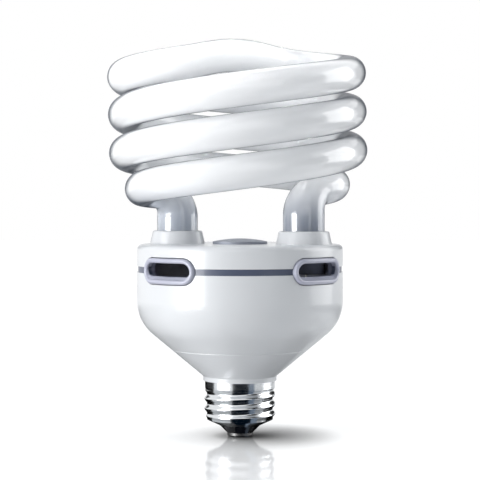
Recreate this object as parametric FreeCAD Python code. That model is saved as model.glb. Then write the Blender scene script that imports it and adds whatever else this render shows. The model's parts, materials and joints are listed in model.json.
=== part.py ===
"""Spiral energy saving lamp with a screw cap, in millimetres.

The lamp stands on its centre contact. The origin is on the lamp's axis at that contact, +Z is up, and the
front is -Y. A sealed glass tube is wound as a right-handed double helix. Its two legs are cemented into
the collars of the upper cover. A grey ring with four vents lies between the cover and the bowl, which holds
the circuit board and ends in the screw cap.
"""

import FreeCAD, Part
import math
import os
from FreeCAD import Vector

# The glass tube
tube_d = 12.2
leg_d = 15.2
coil_radius = 41.4
coil_pitch = 28.2
coil_turns = 1.296
coil_top_z = 133.4
crown_z = 140.5
crown_crest = 12.0
crossing_angle = 40.0
glass_lean = 1.3
glass_nod = 1.7
run_in_radius = 33.0
turn_in_radius = 14.0
turn_in_angle = 52.0
bend_radius = 9.5
flare_rings = 8
tube_end_z = 60.5

# The bowl and the cover
body_r = 38.0
wall = 1.8
neck_r = 13.6
neck_height = 1.6
cone_angle = 40.0
shoulder_radius = 16.0
seam_r = 25.5
seam_width = 0.5
seam_depth = 0.3
band_z = 62.1
top_z = 71.2
top_wall = 2.2
top_edge_radius = 2.0
spigot_length = 2.6
rib_count = 6
rib_width = 1.6
rib_reach = 3.6
post_width = 2.0
post_depth = 4.2
post_count = 4
web_thickness = 1.6
web_gap = 2.0

# The collars round the legs
collar_base_r = 10.3
collar_top_r = 9.2
collar_height = 4.8
collar_edge_radius = 0.7
collar_depth = 6.0
sleeve_wall = 1.6
cement_width = 0.7
cement_recess = 0.6

# The grey ring and its vents
band_height = 2.25
band_recess = 0.45
lip_thickness = 1.2
lip_height = 6.4
vent_angle = 46.1
vent_turn = 2.4
bezel_width = 24.9
bezel_height = 9.2
bezel_gap = 0.3
bezel_proud = 0.35
bezel_depth = 3.6
bezel_rim = 0.9
vent_width = 21.4
vent_height = 4.8
vent_rise = 0.5
funnel_depth = 2.0

# The disc in the middle of the cover
disc_r = 10.1
disc_rim = 0.9
disc_rise = 1.1
disc_stem_r = 3.0
disc_barb_r = 3.5
disc_barb_height = 1.2

# The screw cap
cap_rim_z = 20.8
cap_metal = 0.35
thread_crest_r = 13.15
thread_root_r = 12.2
thread_pitch = 3.63
thread_ridges = 3
thread_start_z = 6.3
cap_band_r = 12.95
cap_foot_r = 7.45
cap_foot_z = 4.1
insulator_foot_r = 4.9
insulator_height = 6.2
insulator_gap = 0.6
contact_r = 4.7
contact_height = 1.5
contact_rivet_r = 1.7
contact_bore_r = 0.9

# The circuit board and its pins
board_z = 51.0
board_thickness = 1.6
lead_r = 0.35
lead_stub = 1.1
pin_width = 1.0
pin_height = 5.0
pin_spacing = 5.0
wrap_r = 1.35
wrap_height = 2.6
wrap_low = 1.2
wire_r = 0.65
wire_bend_gap = 1.0

# The parts on the board. Each spot is a share of the board's radius.
bulk_r = 7.0
bulk_height = 25.0
bulk_groove = 0.5
bulk_groove_drop = 2.7
choke_spot = (-0.46, 0.0)
choke_length = 16.0
choke_width = 15.0
choke_height = 13.0
choke_leg = 4.2
choke_yoke = 2.4
choke_core_width = 6.75
bobbin_wall = 0.8
bobbin_post = 1.5
bobbin_lead_inset = 2.0
winding_corner = 1.4
transistor_spots = ((0.4345, -0.167), (0.4345, 0.167))
transistor_width = 10.0
transistor_depth = 4.4
transistor_height = 9.0
transistor_pitch = 2.54
transistor_leg = 4.0
tab_thickness = 1.3
tab_height = 3.0
tab_hole_r = 1.0
film_sizes = ((5.0, 12.0, 10.0), (13.0, 6.0, 11.0), (10.0, 5.0, 9.0))
film_spots = ((0.724, 0.0), (0.0, 0.585), (-0.306, -0.599))
film_corner = 0.8
film_lead_share = 0.35
toroid_spot = (0.487, 0.487)
toroid_r = 5.0
toroid_bore_r = 2.6
toroid_height = 4.6
toroid_wire = 0.8
toroid_band = 3.0
toroid_band_angles = (30, 150, 270)
toroid_lead_reach = 3.5
drum_spot = (0.195, -0.571)
drum_r = 4.5
drum_coil_r = 3.9
drum_height = 11.0
drum_flange = 1.2
drum_lead_reach = 3.0
diode_spots = ((-0.2507, -0.808), (-0.0836, -0.808), (0.0836, -0.808), (0.2507, -0.808))
diode_r = 1.35
diode_length = 5.2
resistor_spots = ((-0.682, -0.39), (-0.794, -0.251), (0.543, -0.571), (0.682, -0.487))
resistor_r = 1.15
resistor_length = 6.2
axial_reach = 4.0
fuse_spot = (-0.39, 0.515)
fuse_r = 1.9
fuse_length = 12.0
fuse_loop = 1.2
fuse_reach = 3.0
ptc_spot = (-0.669, 0.418)
ptc_r = 3.6
ptc_thickness = 2.6
ptc_drop = 4.4
ptc_reach = 2.5
wire_reach = 12.0

# Clearances
fit = 0.1
board_gap = 0.3
lead_gap = 0.15
wrap_gap = 0.05

# Worked out from the sizes above
tube_r = tube_d / 2
leg_r = leg_d / 2
board_top = board_z + board_thickness
body_bore_r = body_r - wall
board_r = body_bore_r - board_gap
band_low = band_z - band_height / 2
band_high = band_z + band_height / 2
slope = coil_pitch / (2 * math.pi * coil_radius)
UP = Vector(0, 0, 1)
DOWN = Vector(0, 0, -1)
AXIS = Vector(0, 0, 0)


def save(shape, node):
    """Writes one node's file."""
    shape.exportStep(f"parts/{node}.step")


def turned(points):
    """A solid turned about the lamp's axis. A point (r, z, "arc") is the middle of an arc."""
    spots = [Vector(p[0], 0, p[1]) for p in points]
    edges = []
    i = 0
    while i < len(points):
        j = (i + 1) % len(points)
        if len(points[j]) == 3:
            k = (i + 2) % len(points)
            edges.append(Part.Arc(spots[i], spots[j], spots[k]).toShape())
            i += 2
        else:
            edges.append(Part.LineSegment(spots[i], spots[j]).toShape())
            i += 1
    return Part.Face(Part.Wire(edges)).revolve(AXIS, UP, 360)


def cylinder(radius, low, high, x=0.0, y=0.0):
    return Part.makeCylinder(radius, high - low, Vector(x, y, low))


def block(length, width, low, high, x=0.0, y=0.0):
    """An upright box centred on x, y."""
    return Part.makeBox(length, width, high - low, Vector(x - length / 2, y - width / 2, low))


def joined(shapes):
    """One solid from pieces that overlap or share faces."""
    whole = shapes[0].fuse(shapes[1:]) if len(shapes) > 1 else shapes[0]
    return whole.removeSplitter()


def side_by_side(shapes):
    """Separate solids that share one node."""
    return Part.makeCompound([solid for shape in shapes for solid in shape.Solids])


# The tube along a route


def arc_to(here, heading, goal):
    """Centre, axis and angle of the arc that leaves here along the heading and ends at the goal."""
    chord = goal - here
    axis = heading.cross(chord)
    axis.normalize()
    inward = axis.cross(heading)
    radius = chord.dot(chord) / (2 * chord.dot(inward))
    centre = here + inward * radius
    angle = 2 * math.atan2(chord.dot(inward), chord.dot(heading))
    return centre, axis, angle


def straight_ahead(here, heading, goal):
    return heading.cross(goal - here).Length < 1e-6 * (goal - here).Length


def flare(ring, centre, axis, angle, growth):
    """The wall along an arc over which a ring grows smoothly, and the ring at its end."""
    middle = ring.Curve.Center
    rings = []
    for i in range(flare_rings + 1):
        t = i / flare_rings
        grown = ring.scaled(1 + (growth - 1) * t * t * (3 - 2 * t), middle)
        rings.append(Part.Wire([grown.rotated(centre, axis, math.degrees(angle) * t)]))
    return Part.makeLoft(rings, False, False).Faces[0], rings[-1].Edges[0]


def tube_through(start, heading, radius, goals):
    """A round rod that meets each goal by a straight run or one tangent arc.

    A goal is a place and the rod's radius there. The radius changes only along arcs.
    """
    ring = Part.makeCircle(radius, start, heading)
    caps = [Part.Face(Part.Wire([ring]))]
    walls = []
    here = start
    for goal, goal_radius in goals:
        if straight_ahead(here, heading, goal):
            walls.append(ring.extrude(goal - here))
            ring = ring.translated(goal - here)
        else:
            centre, axis, angle = arc_to(here, heading, goal)
            if goal_radius == radius:
                walls.append(ring.revolve(centre, axis, math.degrees(angle)))
                ring = ring.rotated(centre, axis, math.degrees(angle))
            else:
                wall_face, ring = flare(ring, centre, axis, angle, goal_radius / radius)
                walls.append(wall_face)
            heading = FreeCAD.Rotation(axis, math.degrees(angle)).multVec(heading)
        here = goal
        radius = goal_radius
    caps.append(Part.Face(Part.Wire([ring])))
    skin = Part.makeShell(walls + caps)
    skin.sewShape()
    rod = Part.makeSolid(skin)
    if rod.Volume < 0:
        rod.reverse()
    return rod


def rounded_route(corners):
    """The goals of a route of straight runs, with each corner an arc as large as its runs allow."""
    goals = []
    for before, corner, after in zip(corners, corners[1:], corners[2:]):
        reach = 0.45 * min((corner - before).Length, (after - corner).Length)
        goals.append(corner + (before - corner).normalize() * reach)
        goals.append(corner + (after - corner).normalize() * reach)
    goals.append(corners[-1])
    return goals


def rounded_rod(radius, corners):
    heading = (corners[1] - corners[0]).normalize()
    return tube_through(corners[0], heading, radius, [(goal, radius) for goal in rounded_route(corners)])


def biarc_joint(start, start_heading, end, end_heading):
    """Where two arcs meet that carry one heading smoothly into the other."""
    across = end - start
    both = start_heading + end_heading
    a = 2 * (1 - start_heading.dot(end_heading))
    b = 2 * across.dot(both)
    c = -across.dot(across)
    reach = -c / b if a < 1e-9 else (math.sqrt(b * b - 4 * a * c) - b) / (2 * a)
    return (start + start_heading * reach + end - end_heading * reach) * 0.5


# The glass tube, wound as a double helix


def crossing():
    """Half the straight run over the lamp's axis, and the radius of the bend from it into the coil."""
    sine = math.sin(math.radians(crossing_angle))
    radius = coil_radius * sine / (1 + sine)
    return radius / math.tan(math.radians(crossing_angle)), radius


def plan_arcs():
    """Radius and angle of each arc of a strand seen from above, from crossing to leg, all clockwise."""
    coil_angle = 360 * coil_turns
    run_in_angle = 180 - coil_angle % 360
    return [
        (crossing()[1], 90 + crossing_angle), (coil_radius, coil_angle), (run_in_radius, run_in_angle),
        (turn_in_radius, turn_in_angle),
    ]


def strand_plan(length):
    """Place and direction, seen from above, at a length along a strand that starts on the axis."""
    course = math.radians(crossing_angle)
    straight = min(length, crossing()[0])
    x = straight * math.cos(course)
    y = straight * math.sin(course)
    length -= straight
    for radius, angle in plan_arcs():
        turn = min(math.radians(angle), max(length, 0.0) / radius)
        centre_x = x + radius * math.sin(course)
        centre_y = y - radius * math.cos(course)
        course -= turn
        x = centre_x - radius * math.sin(course)
        y = centre_y + radius * math.cos(course)
        length -= math.radians(angle) * radius
    return x, y, course


def strand_height(length):
    """Height along a strand and its slope: a crest on the axis, then more and more gently to the coil."""
    straight, radius = crossing()
    crown_length = straight + radius * math.radians(90 + crossing_angle)
    flank = crown_length - crown_crest
    steepest = (2 * (crown_z - coil_top_z) - slope * flank) / crown_length
    if length <= crown_crest:
        fall = steepest * length / crown_crest
        return crown_z - fall * length / 2, -fall
    if length <= crown_length:
        fall = steepest + (slope - steepest) * (length - crown_crest) / flank
        drop = steepest * crown_crest / 2 + (steepest + fall) / 2 * (length - crown_crest)
        return crown_z - drop, -fall
    return coil_top_z - slope * (length - crown_length), -slope


def strand_point(length, side):
    """Place and downward heading on the right strand (side 1) or the left one (side -1)."""
    x, y, course = strand_plan(length)
    z, fall = strand_height(length)
    place = Vector(side * x, side * y, z)
    heading = Vector(side * math.cos(course), side * math.sin(course), fall)
    pivot = Vector(0, 0, top_z + collar_height)
    nod = FreeCAD.Rotation(Vector(1, 0, 0), glass_nod)
    lean = FreeCAD.Rotation(Vector(0, 1, 0), -glass_lean).multiply(nod)
    return pivot + lean.multVec(place - pivot), lean.multVec(heading).normalize()


def strand_stations():
    """Lengths at which the route's arcs meet."""
    straight = crossing()[0]
    stations = [0.0, crown_crest, straight]
    for (radius, angle), parts in zip(plan_arcs(), (3, round(coil_turns * 4), 1, 1)):
        step = math.radians(angle) * radius / parts
        start = stations[-1]
        stations += [start + step * (i + 1) for i in range(parts)]
    return stations


def leg_top(side):
    """Where a leg's bend ends and it runs straight down."""
    place, heading = strand_point(strand_stations()[-1], side)
    half_turn = math.acos(heading.dot(DOWN)) / 2
    return place + (heading + DOWN) * (bend_radius * math.tan(half_turn))


def spiral_tube():
    left = [strand_point(s, -1) for s in reversed(strand_stations())]
    right = [strand_point(s, 1) for s in strand_stations()[1:]]
    route = [(place, heading * -1) for place, heading in left] + right
    left_top = leg_top(-1)
    right_top = leg_top(1)
    goals = [(left_top, leg_r), (route[0][0], tube_r)]
    for (place, heading), (next_place, next_heading) in zip(route, route[1:]):
        goals.append((biarc_joint(place, heading, next_place, next_heading), tube_r))
        goals.append((next_place, tube_r))
    goals += [(right_top, leg_r), (Vector(right_top.x, right_top.y, tube_end_z), leg_r)]
    return tube_through(Vector(left_top.x, left_top.y, tube_end_z), UP, leg_r, goals)


def tube_cement():
    """The white cement that fills each collar round the tube."""
    low = top_z - collar_depth
    high = top_z + collar_height - cement_recess
    rings = []
    for side in (-1, 1):
        leg = leg_top(side)
        outer = cylinder(leg_r + cement_width, low, high, leg.x, leg.y)
        rings.append(outer.cut(cylinder(leg_r, low, high, leg.x, leg.y)))
    return side_by_side(rings)


# The bowl, the ring and the cover


def bowl_outline(inset):
    """The bowl's outside, moved in by the inset: the cone's ends, the shoulder, the wall's foot."""
    cone = math.radians(cone_angle)
    cone_low_z = cap_rim_z + neck_height
    corner_z = cone_low_z + (body_r - neck_r) * math.tan(cone)
    bend = shoulder_radius * math.tan((math.pi / 2 - cone) / 2)
    centre_r = body_r - shoulder_radius
    centre_z = corner_z + bend
    radius = shoulder_radius - inset
    end_angle = cone - math.pi / 2
    cone_end = (centre_r + radius * math.cos(end_angle), centre_z + radius * math.sin(end_angle))
    mid_angle = end_angle / 2
    middle = (centre_r + radius * math.cos(mid_angle), centre_z + radius * math.sin(mid_angle), "arc")
    wall_foot = (body_r - inset, centre_z)
    start_r = neck_r - inset
    start_z = cone_end[1] - (cone_end[0] - start_r) * math.tan(cone)
    return [(start_r, start_z), cone_end, middle, wall_foot]


def vent_prism(width, height, z, near, far):
    """An upright obround bar that points outwards along +X."""
    half = width / 2 - height / 2
    top = z + height / 2
    low = z - height / 2
    outline = Part.Wire([
        Part.LineSegment(Vector(near, -half, low), Vector(near, half, low)).toShape(),
        Part.Arc(Vector(near, half, low), Vector(near, width / 2, z), Vector(near, half, top)).toShape(),
        Part.LineSegment(Vector(near, half, top), Vector(near, -half, top)).toShape(),
        Part.Arc(Vector(near, -half, top), Vector(near, -width / 2, z), Vector(near, -half, low)).toShape(),
    ])
    if far == near:
        return outline
    return Part.Face(outline).extrude(Vector(far - near, 0, 0))


def vent_angles():
    front = 270 + vent_turn
    back = 90 + vent_turn
    return [front - vent_angle, front + vent_angle, back - vent_angle, back + vent_angle]


def round_the_vents(shape):
    """Copies of a shape that points along +X, one at each vent."""
    return [shape.rotated(AXIS, UP, angle) for angle in vent_angles()]


def bezel_seats():
    """The cuts that the cover and the bowl have for the bezels."""
    width = bezel_width + 2 * bezel_gap
    height = bezel_height + 2 * bezel_gap
    return round_the_vents(vent_prism(width, height, band_z, body_r - 3 * wall, body_r + wall))


def vent_ring():
    """One grey moulding: the band, the lip that centres the cover on the bowl, and the four bezels."""
    face_r = body_r + bezel_proud
    back_r = face_r - bezel_depth
    frame = vent_prism(bezel_width, bezel_height, band_z, back_r - wall, face_r + wall)
    shell = cylinder(face_r, band_z - bezel_height, band_z + bezel_height)
    shell = shell.cut(cylinder(back_r, band_z - bezel_height, band_z + bezel_height))
    frame = frame.common(shell)
    opening_z = band_z + vent_rise
    opening = vent_prism(vent_width, vent_height, opening_z, back_r - 2 * wall, face_r + wall)
    rim = 2 * bezel_rim
    mouth = vent_prism(bezel_width - rim, bezel_height - rim, band_z, face_r, face_r)
    throat = vent_prism(vent_width, vent_height, opening_z, face_r - funnel_depth, face_r - funnel_depth)
    funnel = Part.makeLoft([mouth, throat], True, True)
    lip_r = body_bore_r - fit
    lip_low = band_z - lip_height / 2
    lip_high = band_z + lip_height / 2
    band = turned([
        (lip_r - lip_thickness, lip_low), (lip_r, lip_low), (lip_r, band_low), (body_r - band_recess, band_low),
        (body_r - band_recess, band_high), (lip_r, band_high), (lip_r, lip_high),
        (lip_r - lip_thickness, lip_high),
    ])
    ring = joined([band] + round_the_vents(frame))
    return ring.cut(round_the_vents(opening) + round_the_vents(funnel)).removeSplitter()


def cone_seam():
    """The fine groove round the cone where the mould parts."""
    cone = math.radians(cone_angle)
    along = (math.cos(cone) * seam_width / 2, math.sin(cone) * seam_width / 2)
    inward = (-math.sin(cone) * seam_depth, math.cos(cone) * seam_depth)
    z = cap_rim_z + neck_height + (seam_r - neck_r) * math.tan(cone)
    outside = (seam_r - inward[0], z - inward[1])
    return turned([
        (outside[0] - 2 * along[0], outside[1] - 2 * along[1]),
        (outside[0] + 2 * along[0], outside[1] + 2 * along[1]),
        (seam_r + inward[0], z + inward[1]),
    ])


def lower_housing():
    """The bowl: a spigot in the cap, a neck, a cone, a rounded shoulder, a wall, and ribs for the board."""
    outer = bowl_outline(0)
    inner = bowl_outline(wall)
    inner.reverse()
    spigot_r = cap_band_r - cap_metal - fit
    spigot_bore = spigot_r - wall + cap_metal
    low = cap_rim_z - spigot_length
    bore_top = inner[-1][1]
    profile = [(spigot_bore, low), (spigot_r, low), (spigot_r, cap_rim_z), (neck_r, cap_rim_z)]
    profile += outer + [(body_r, band_low), (body_bore_r, band_low)] + inner[:-1]
    cone = math.tan(math.radians(cone_angle))
    profile += [(spigot_bore, bore_top - (inner[-1][0] - spigot_bore) * cone)]
    filled = turned([(0, low), (spigot_r, low), (spigot_r, cap_rim_z), (neck_r, cap_rim_z)] + outer
                    + [(body_r, band_low), (0, band_low)])
    rib_out = body_r - wall / 2
    rib_in = body_bore_r - rib_reach
    rib = block(rib_out - rib_in, rib_width, cap_rim_z + neck_height, board_z, (rib_out + rib_in) / 2)
    rib = rib.common(filled)
    ribs = [rib.rotated(AXIS, UP, 360 * (i + 0.5) / rib_count) for i in range(rib_count)]
    bowl = joined([turned(profile)] + ribs)
    return bowl.cut(bezel_seats() + [cone_seam()]).removeSplitter()


def upper_cover():
    """The cover: rim, flat top, two collars with sleeves, a web, and posts that hold the board down."""
    edge = top_edge_radius
    inner_edge = max(edge - wall, 0.3)
    half = math.sqrt(0.5)
    top_in = top_z - top_wall
    cover = turned([
        (disc_stem_r + fit, top_z), (body_r - edge, top_z),
        (body_r - edge + edge * half, top_z - edge + edge * half, "arc"), (body_r, top_z - edge),
        (body_r, band_high), (body_bore_r, band_high), (body_bore_r, top_in - inner_edge),
        (body_bore_r - inner_edge + inner_edge * half, top_in - inner_edge + inner_edge * half, "arc"),
        (body_bore_r - inner_edge, top_in), (disc_stem_r + fit, top_in),
    ])
    post_out = body_bore_r - fit - lip_thickness - 2 * fit
    post = block(post_depth, post_width, board_top, top_z - top_wall / 2, post_out - post_depth / 2)
    posts = [post.rotated(AXIS, UP, 360 * i / post_count) for i in range(post_count)]
    web = block(2 * post_out, web_thickness, board_top + web_gap, top_z - top_wall / 2)
    barb_low = top_z - top_wall - 2 * disc_barb_height
    web = web.cut(cylinder(disc_barb_r + web_thickness, barb_low, top_z))
    bore_r = leg_r + cement_width
    collars = []
    bores = []
    for side in (-1, 1):
        leg = leg_top(side)
        foot = Vector(leg.x, leg.y, top_z - top_wall / 2)
        height = collar_height + top_wall / 2
        foot_r = collar_top_r + (collar_base_r - collar_top_r) * height / collar_height
        cone = Part.makeCone(foot_r, collar_top_r, height, foot)
        rim = [e for e in cone.Edges if e.BoundBox.ZMin > top_z + collar_height / 2]
        collars.append(cone.makeFillet(min(collar_edge_radius, 0.8 * (collar_top_r - bore_r)), rim[:1]))
        sleeve_low = top_z - collar_depth
        collars.append(cylinder(bore_r + sleeve_wall, sleeve_low, top_z - top_wall / 2, leg.x, leg.y))
        bores.append(cylinder(bore_r, sleeve_low - collar_depth, top_z + 2 * collar_height, leg.x, leg.y))
    whole = joined([cover, web] + posts + collars)
    return whole.cut(bores + bezel_seats()).removeSplitter()


def centre_disc():
    """A low domed disc, with a stem that snaps through the cover."""
    dome_r = (disc_r ** 2 + disc_rise ** 2) / (2 * disc_rise)
    crown = top_z + disc_rim + disc_rise
    mid_r = disc_r / 2
    mid_z = crown - dome_r + math.sqrt(dome_r ** 2 - mid_r ** 2)
    under = top_z - top_wall
    return turned([
        (0, crown), (mid_r, mid_z, "arc"), (disc_r, top_z + disc_rim), (disc_r, top_z), (disc_stem_r, top_z),
        (disc_stem_r, under), (disc_barb_r, under), (disc_stem_r, under - disc_barb_height),
        (0, under - disc_barb_height),
    ])


# The screw cap


def shell_outline(inset):
    """The cap's metal from foot to rim, moved in by the inset. Each ridge of the thread is one ring."""
    points = [(cap_foot_r, cap_foot_z + inset), (thread_root_r - inset, thread_start_z + inset / 2)]
    for i in range(thread_ridges):
        low = thread_start_z + thread_pitch * i
        points.append((thread_crest_r - inset, low + thread_pitch / 2))
        points.append((thread_root_r - inset, low + thread_pitch))
    top = points[-1][1]
    step = cap_band_r - thread_root_r
    return points + [(cap_band_r - inset, top + step), (cap_band_r - inset, cap_rim_z)]


def screw_shell():
    return turned(shell_outline(0) + shell_outline(cap_metal)[::-1])


def cap_insulator():
    """The black glass in the cap's foot, with a bore for the contact's rivet and the live wire."""
    shoulder = (thread_root_r - cap_metal, thread_start_z + cap_metal / 2)
    rise = (shoulder[1] - cap_foot_z - cap_metal) / (shoulder[0] - cap_foot_r)
    top = cap_foot_z + insulator_height / 2
    inner_r = shoulder[0] - insulator_gap
    return turned([
        (contact_rivet_r, contact_height), (insulator_foot_r, contact_height), (cap_foot_r, cap_foot_z),
        (cap_foot_r, cap_foot_z + cap_metal),
        (inner_r, cap_foot_z + cap_metal + rise * (inner_r - cap_foot_r)),
        (inner_r, top), (contact_rivet_r, top),
    ])


def centre_contact():
    """A brass button with a hollow rivet that holds the live wire."""
    top = cap_foot_z + insulator_height / 2
    edge = contact_height / 3
    return turned([
        (0, 0), (contact_r - edge, 0), (contact_r, edge), (contact_r, contact_height),
        (contact_rivet_r, contact_height), (contact_rivet_r, top), (contact_bore_r, top),
        (contact_bore_r, contact_height), (0, contact_height),
    ])


# The circuit board and its parts, which hang under it


def spot(share):
    """The place of a share of the board's radius."""
    return share[0] * board_r, share[1] * board_r


def lead(x, y, low=0.0):
    """A lead from a part under the board, through the board to a stub above it."""
    return cylinder(lead_r, board_z - lead_stub - low, board_top + lead_stub, x, y)


def film_leads(index):
    length, width, _ = film_sizes[index]
    x, y = spot(film_spots[index])
    reach = film_lead_share * max(length, width)
    step = (reach, 0) if length > width else (0, reach)
    return [(x - step[0], y - step[1]), (x + step[0], y + step[1])]


def transistor_leads(share):
    x, y = spot(share)
    return [(x, y - transistor_pitch), (x, y), (x, y + transistor_pitch)]


def leads_along_y(share, reach):
    x, y = spot(share)
    return [(x, y - reach), (x, y + reach)]


def choke_leads():
    centre = spot(choke_spot)[0]
    x = choke_length / 2 - bobbin_lead_inset
    y = choke_width / 2 - bobbin_post - bobbin_lead_inset
    return [(centre - x, -y), (centre - x, y), (centre + x, -y), (centre + x, y)]


def toroid_leads():
    """Both leads of the winding at the ring's front."""
    x, y = spot(toroid_spot)
    y -= toroid_r + toroid_wire + lead_r
    return [(x - toroid_lead_reach, y), (x + toroid_lead_reach, y)]


def all_leads():
    """Where leads pass through the board."""
    places = [(0, -bulk_r / 2), (0, bulk_r / 2)] + choke_leads() + toroid_leads()
    for index in range(len(film_sizes)):
        places += film_leads(index)
    for share in transistor_spots:
        places += transistor_leads(share)
    for share in diode_spots + resistor_spots:
        places += leads_along_y(share, axial_reach)
    places += leads_along_y(drum_spot, drum_lead_reach)
    places += leads_along_y(fuse_spot, fuse_reach)
    places += leads_along_y(ptc_spot, ptc_reach)
    return places


def pin_places():
    """Two pins under each leg, in line with the leads of its electrode."""
    places = []
    for side in (-1, 1):
        leg = leg_top(side)
        places += [(leg.x, leg.y - pin_spacing / 2), (leg.x, leg.y + pin_spacing / 2)]
    return places


def circuit_board():
    holes = [cylinder(lead_r + lead_gap, board_z, board_top, x, y) for x, y in all_leads()]
    holes += [block(pin_width, pin_width, board_z, board_top, x, y) for x, y in pin_places()]
    holes += [cylinder(wire_r, board_z, board_top, 0, y) for y in (-wire_reach, wire_reach)]
    return cylinder(board_r, board_z, board_top).cut(holes)


def bulk_capacitor():
    """The main capacitor, which hangs in the cone, with the groove near its open end."""
    low = board_z - bulk_height
    groove_z = board_z - bulk_groove_drop
    can = turned([
        (0, low), (bulk_r - bulk_groove, low), (bulk_r, low + bulk_groove), (bulk_r, groove_z - bulk_groove),
        (bulk_r - bulk_groove, groove_z), (bulk_r, groove_z + bulk_groove), (bulk_r, board_z), (0, board_z),
    ])
    return joined([can, lead(0, -bulk_r / 2), lead(0, bulk_r / 2)])


def choke_core():
    """Two E halves that meet: yokes above and below, outer legs at the ends and a middle leg."""
    x = spot(choke_spot)[0]
    low = board_z - choke_height
    high = board_z - bobbin_wall
    frame = block(choke_length, choke_core_width, low, high, x)
    window = block(choke_length - choke_leg, choke_width, low + choke_yoke, high - choke_yoke, x)
    middle = block(choke_leg, choke_core_width, low + choke_yoke, high - choke_yoke, x)
    return joined([frame.cut(window), middle])


def choke_bobbin():
    """A plate on the board with four leads, and a sleeve with two flanges round the core's middle leg."""
    x = spot(choke_spot)[0]
    low = board_z - choke_height + choke_yoke
    high = board_z - bobbin_wall - choke_yoke
    hole_x = choke_leg + 2 * fit
    hole_y = choke_core_width + 2 * fit
    flange_x = choke_length - choke_leg - 2 * fit
    sleeve = block(hole_x + 2 * bobbin_wall, hole_y + 2 * bobbin_wall, low, high, x)
    flanges = [block(flange_x, choke_width, low, low + bobbin_wall, x)]
    flanges.append(block(flange_x, choke_width, high - bobbin_wall, high, x))
    tower = joined([sleeve] + flanges).cut(block(hole_x, hole_y, low, high, x))
    plate = block(choke_length, choke_width, board_z - bobbin_wall, board_z, x)
    y = (choke_width - bobbin_post) / 2
    post_high = board_z - bobbin_wall / 2
    posts = [block(flange_x, bobbin_post, low, post_high, x, side * y) for side in (-1, 1)]
    return joined([tower, plate] + posts + [lead(px, py) for px, py in choke_leads()])


def choke_winding():
    x = spot(choke_spot)[0]
    low = board_z - choke_height + choke_yoke + bobbin_wall
    high = board_z - 2 * bobbin_wall - choke_yoke
    inner_x = choke_leg + 2 * fit + 2 * bobbin_wall
    inner_y = choke_core_width + 2 * fit + 2 * bobbin_wall
    outer_x = choke_length - choke_leg - 2 * bobbin_wall
    outer_y = choke_width - 2 * bobbin_post - 2 * fit
    turns = block(outer_x, outer_y, low, high, x)
    uprights = [e for e in turns.Edges if e.BoundBox.ZLength > (high - low) / 2]
    turns = turns.makeFillet(winding_corner, uprights)
    return turns.cut(block(inner_x, inner_y, low, high, x))


def toroid_ring(x=0.0, y=0.0):
    high = board_z - toroid_wire
    low = high - toroid_height
    return cylinder(toroid_r, low, high, x, y).cut(cylinder(toroid_bore_r, low, high, x, y))


def drive_toroid():
    """The ferrite ring of the drive transformer, flat under the board."""
    return toroid_ring(*spot(toroid_spot))


def drive_windings():
    """Three wound bands on the ring, which stand it off the board. The last one has the leads."""
    x, y = spot(toroid_spot)
    low = board_z - toroid_height - 2 * toroid_wire
    width = toroid_r - toroid_bore_r + 2 * toroid_wire
    bands = []
    for angle in toroid_band_angles:
        band = block(width, toroid_band, low, board_z, (toroid_r + toroid_bore_r) / 2).cut(toroid_ring())
        bands.append(band.rotated(AXIS, UP, angle).translated(Vector(x, y, 0)))
    leads = [lead(px, py, toroid_wire - lead_stub) for px, py in toroid_leads()]
    bar_y = toroid_leads()[0][1]
    bar_x = 2 * (toroid_lead_reach + lead_r)
    bar = block(bar_x, 2 * toroid_wire, board_z - toroid_wire, board_z, x, bar_y)
    bands[-1] = joined([bands[-1], bar] + leads)
    return side_by_side(bands)


def power_transistors():
    """Two transistors with their tabs outwards, on three legs each."""
    parts = []
    for share in transistor_spots:
        x, y = spot(share)
        high = board_z - transistor_leg
        low = high - transistor_height
        tab_x = x + (transistor_depth - tab_thickness) / 2
        body = block(transistor_depth, transistor_width, low, high, x, y)
        tab = block(tab_thickness, transistor_width, low - tab_height, high, tab_x, y)
        hole_foot = Vector(tab_x - tab_thickness, y, low - tab_height / 2)
        tab = tab.cut(Part.makeCylinder(tab_hole_r, 2 * tab_thickness, hole_foot, Vector(1, 0, 0)))
        legs = [lead(px, py, transistor_leg) for px, py in transistor_leads(share)]
        parts.append(joined([body, tab] + legs))
    return side_by_side(parts)


def film_capacitors():
    parts = []
    for index, (length, width, height) in enumerate(film_sizes):
        body = block(length, width, board_z - height, board_z, *spot(film_spots[index]))
        body = body.makeFillet(film_corner, [e for e in body.Edges if e.BoundBox.ZLength > height / 2])
        parts.append(joined([body] + [lead(x, y) for x, y in film_leads(index)]))
    return side_by_side(parts)


def axial_part(share, radius, length):
    """A round part that lies along Y under the board, on two bent leads."""
    x, y = spot(share)
    z = board_z - radius
    along = Vector(0, 1, 0)
    body = Part.makeCylinder(radius, length, Vector(x, y - length / 2, z), along)
    wire = Part.makeCylinder(lead_r, 2 * axial_reach, Vector(x, y - axial_reach, z), along)
    places = leads_along_y(share, axial_reach)
    legs = [cylinder(lead_r, z, board_top + lead_stub, px, py) for px, py in places]
    return joined([body, wire] + legs)


def rectifier_diodes():
    return side_by_side([axial_part(share, diode_r, diode_length) for share in diode_spots])


def resistors():
    return side_by_side([axial_part(share, resistor_r, resistor_length) for share in resistor_spots])


def filter_choke():
    """A drum core with its winding between the flanges."""
    x, y = spot(drum_spot)
    low = board_z - drum_height
    drum = [cylinder(drum_r, low, low + drum_flange, x, y)]
    drum.append(cylinder(drum_r, board_z - drum_flange, board_z, x, y))
    drum.append(cylinder(drum_coil_r, low, board_z, x, y))
    return joined(drum + [lead(px, py) for px, py in leads_along_y(drum_spot, drum_lead_reach)])


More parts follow.
